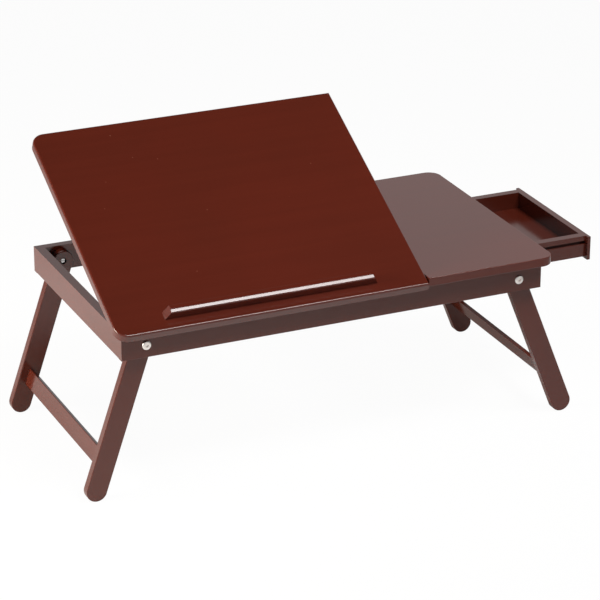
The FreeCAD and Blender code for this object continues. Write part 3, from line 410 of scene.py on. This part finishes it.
class LAPTOPSTAND_OT_drawer(bpy.types.Operator):
    """Finish the drawer"""
    bl_idname = "laptopstand.drawer"
    bl_label = "Drawer"

    def execute(self, context):
        stain = Vector(context.scene.wood_finish.drawer_stain)
        sides = ["drawer_side_front", "drawer_side_back"]
        boards = ["drawer_plate", "drawer_front_board", "drawer_back_board", "drawer_floor"]
        finish_nodes(make_wood("drawer side wood", stain, ALONG_X), sides)
        finish_nodes(make_wood("drawer board wood", stain, ALONG_Y), boards)
        return {"FINISHED"}


class LAPTOPSTAND_OT_prop(bpy.types.Operator):
    """Finish the prop's arms"""
    bl_idname = "laptopstand.prop"
    bl_label = "Prop"

    def execute(self, context):
        stain = Vector(context.scene.wood_finish.hidden_stain)
        along_arm = Vector((0, math.cos(PROP_RISE), math.sin(PROP_RISE)))
        finish_nodes(make_wood("prop wood", stain, along_arm), ["prop_arm_left", "prop_arm_right"])
        return {"FINISHED"}


class LAPTOPSTAND_OT_hardware(bpy.types.Operator):
    """Finish the bolts, nuts, hinges, screws and rods"""
    bl_idname = "laptopstand.hardware"
    bl_label = "Hardware"

    def execute(self, context):
        finish = context.scene.metal_finish
        nickel = make_metal("bright nickel", Vector(finish.nickel), NICKEL_BLUR, NICKEL_SCRATCHES)
        zinc = make_metal("zinc plate", Vector(finish.zinc), ZINC_BLUR, ZINC_SCRATCHES)
        bolts = [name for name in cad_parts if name.startswith("leg_bolt")]
        finish_nodes(nickel, bolts)
        rods = ["prop_axle", "prop_rod"]
        fixings = [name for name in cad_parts
                   if name.startswith(("leg_nut", "hinge_")) or name.endswith("_screws")]
        finish_nodes(zinc, rods + fixings)
        return {"FINISHED"}


# Studio


def add_mirror_rays(tree, path, x, y):
    """Give the socket that is 1 for the rays that lacquer or metal mirrors or lets through."""
    mirrored = add_node(tree, "ShaderNodeMath", x, y, operation="MAXIMUM")
    tree.links.new(path.outputs["Is Glossy Ray"], mirrored.inputs[0])
    tree.links.new(path.outputs["Is Transmission Ray"], mirrored.inputs[1])
    return mirrored.outputs[0]


def make_floor(settings):
    """Lay a pale floor that looks nearly white to the camera and still holds a soft shadow."""
    bpy.ops.mesh.primitive_plane_add(size=settings.floor_size, location=(0, 0, 0))
    floor = bpy.context.active_object
    floor.name = "studio_floor"
    material, tree, shader = new_material("studio floor")
    link = tree.links.new
    shader.inputs["Base Color"].default_value = tuple(settings.floor_colour) + (1.0,)
    shader.inputs["Roughness"].default_value = 0.9
    shader.inputs["Specular IOR Level"].default_value = 0.1
    path = add_node(tree, "ShaderNodeLightPath", -300, 400)
    shares = [
        (path.outputs["Is Camera Ray"], settings.floor_whiteness),
        (add_mirror_rays(tree, path, -50, 300), settings.floor_mirrored_whiteness),
    ]
    seen = add_node(tree, "ShaderNodeMath", 350, 400, operation="MAXIMUM")
    for number, (ray, share) in enumerate(shares):
        washed = add_node(tree, "ShaderNodeMath", 150, 500 - 200 * number, operation="MULTIPLY")
        washed.inputs[1].default_value = share
        link(ray, washed.inputs[0])
        link(washed.outputs[0], seen.inputs[number])
    glow = add_node(tree, "ShaderNodeEmission", 600, 300)
    glow.inputs["Color"].default_value = (1, 1, 1, 1)
    mixed = add_node(tree, "ShaderNodeMixShader", 900, 300)
    link(seen.outputs[0], mixed.inputs["Fac"])
    link(shader.outputs["BSDF"], mixed.inputs[1])
    link(glow.outputs["Emission"], mixed.inputs[2])
    output = next(node for node in tree.nodes if node.type == "OUTPUT_MATERIAL")
    output.location = (1200, 200)
    link(mixed.outputs["Shader"], output.inputs["Surface"])
    floor.data.materials.append(material)


def make_world(settings):
    """Surround the stand with soft light: white to the camera, dim overhead where lacquer mirrors it."""
    world = bpy.data.worlds.new("studio world")
    bpy.context.scene.world = world
    world.use_nodes = True
    tree = world.node_tree
    tree.nodes.clear()
    link = tree.links.new
    path = add_node(tree, "ShaderNodeLightPath", -900, 400)
    place = add_node(tree, "ShaderNodeTexCoord", -1100, -200)
    split = add_node(tree, "ShaderNodeSeparateXYZ", -900, -200)
    link(place.outputs["Generated"], split.inputs[0])
    height = add_node(tree, "ShaderNodeMapRange", -650, -200, interpolation_type="SMOOTHSTEP")
    height.inputs["From Min"].default_value = 0.45
    height.inputs["From Max"].default_value = 0.75
    height.inputs["To Min"].default_value = settings.horizon_strength
    height.inputs["To Max"].default_value = settings.ceiling_strength
    link(split.outputs["Z"], height.inputs["Value"])
    unseen = add_node(tree, "ShaderNodeMix", -350, 0, data_type="FLOAT")
    unseen.inputs["A"].default_value = settings.fill_strength
    link(add_mirror_rays(tree, path, -650, 250), unseen.inputs["Factor"])
    link(height.outputs["Result"], unseen.inputs["B"])
    strength = add_node(tree, "ShaderNodeMix", -100, 200, data_type="FLOAT")
    strength.inputs["B"].default_value = 1.0
    link(path.outputs["Is Camera Ray"], strength.inputs["Factor"])
    link(unseen.outputs["Result"], strength.inputs["A"])
    background = add_node(tree, "ShaderNodeBackground", 200, 0)
    background.inputs["Color"].default_value = (1, 1, 1, 1)
    link(strength.outputs["Result"], background.inputs["Strength"])
    output = add_node(tree, "ShaderNodeOutputWorld", 450, 0)
    link(background.outputs["Background"], output.inputs["Surface"])


def add_softbox(name, place, aim, size, power):
    """Stand a rectangular softbox at a place, turned to face a point."""
    bpy.ops.object.light_add(type="AREA", location=place)
    lamp = bpy.context.active_object
    lamp.name = name
    lamp.data.shape = "RECTANGLE"
    lamp.data.size, lamp.data.size_y = size
    lamp.data.energy = power
    lamp.rotation_euler = (Vector(aim) - Vector(place)).to_track_quat("-Z", "Y").to_euler()
    return lamp


def make_camera(settings):
    """Set up the camera from its place, yaw, pitch and roll."""
    camera_data = bpy.data.cameras.new("studio camera")
    camera = bpy.data.objects.new("studio_camera", camera_data)
    bpy.context.collection.objects.link(camera)
    camera_data.sensor_width = 36
    camera_data.lens = settings.focal_length
    camera_data.clip_end = 50
    ahead = Vector((
        math.sin(settings.yaw) * math.cos(settings.pitch),
        math.cos(settings.yaw) * math.cos(settings.pitch),
        -math.sin(settings.pitch),
    ))
    level = Vector((math.cos(settings.yaw), -math.sin(settings.yaw), 0))
    upward = level.cross(ahead)
    right = level * math.cos(settings.roll) + upward * math.sin(settings.roll)
    up = upward * math.cos(settings.roll) - level * math.sin(settings.roll)
    turn = Matrix((right, up, -ahead)).transposed()
    camera.matrix_world = Matrix.Translation(Vector(settings.place)) @ turn.to_4x4()
    bpy.context.scene.camera = camera


class LAPTOPSTAND_OT_studio(bpy.types.Operator):
    """Set the floor, the soft lights and the camera"""
    bl_idname = "laptopstand.studio"
    bl_label = "Studio"

    def execute(self, context):
        settings = context.scene.studio_settings
        middle = (0, 0, settings.aim_height)
        make_floor(settings)
        make_world(settings)
        key = add_softbox("key_softbox", settings.key_place, middle, settings.key_size, settings.key_power)
        key.data.color = settings.key_tint
        front = add_softbox(
            "front_softbox", settings.front_place, middle, settings.front_size, settings.front_power)
        front.data.spread = settings.front_spread
        make_camera(settings)
        context.scene.view_settings.view_transform = "Standard"
        return {"FINISHED"}


class LAPTOPSTAND_PT_panel(bpy.types.Panel):
    bl_label = "Laptop stand"
    bl_space_type = "VIEW_3D"
    bl_region_type = "UI"
    bl_category = "Laptop stand"

    def draw(self, context):
        for group in SETTINGS:
            settings = getattr(context.scene, group)
            box = self.layout.box()
            for name in settings.bl_rna.properties.keys():
                if name not in ("rna_type", "name"):
                    box.prop(settings, name)
        for operator in OPERATORS:
            self.layout.operator(operator.bl_idname)


SETTINGS = {"wood_finish": WoodFinish, "metal_finish": MetalFinish, "studio_settings": StudioSettings}
OPERATORS = (
    LAPTOPSTAND_OT_tops,
    LAPTOPSTAND_OT_frame,
    LAPTOPSTAND_OT_legs,
    LAPTOPSTAND_OT_drawer,
    LAPTOPSTAND_OT_prop,
    LAPTOPSTAND_OT_hardware,
    LAPTOPSTAND_OT_studio,
)
CLASSES = (*SETTINGS.values(), *OPERATORS, LAPTOPSTAND_PT_panel)


def register():
    for kind in CLASSES:
        bpy.utils.register_class(kind)
    for name, kind in SETTINGS.items():
        setattr(bpy.types.Scene, name, bpy.props.PointerProperty(type=kind))


def unregister():
    for name in SETTINGS:
        delattr(bpy.types.Scene, name)
    for kind in reversed(CLASSES):
        bpy.utils.unregister_class(kind)


def main():
    register()
    bpy.ops.object.select_all(action="DESELECT")
    bpy.ops.laptopstand.tops()
    bpy.ops.laptopstand.frame()
    bpy.ops.laptopstand.legs()
    bpy.ops.laptopstand.drawer()
    bpy.ops.laptopstand.prop()
    bpy.ops.laptopstand.hardware()
    bpy.ops.laptopstand.studio()


if __name__ == "__main__":
    main()
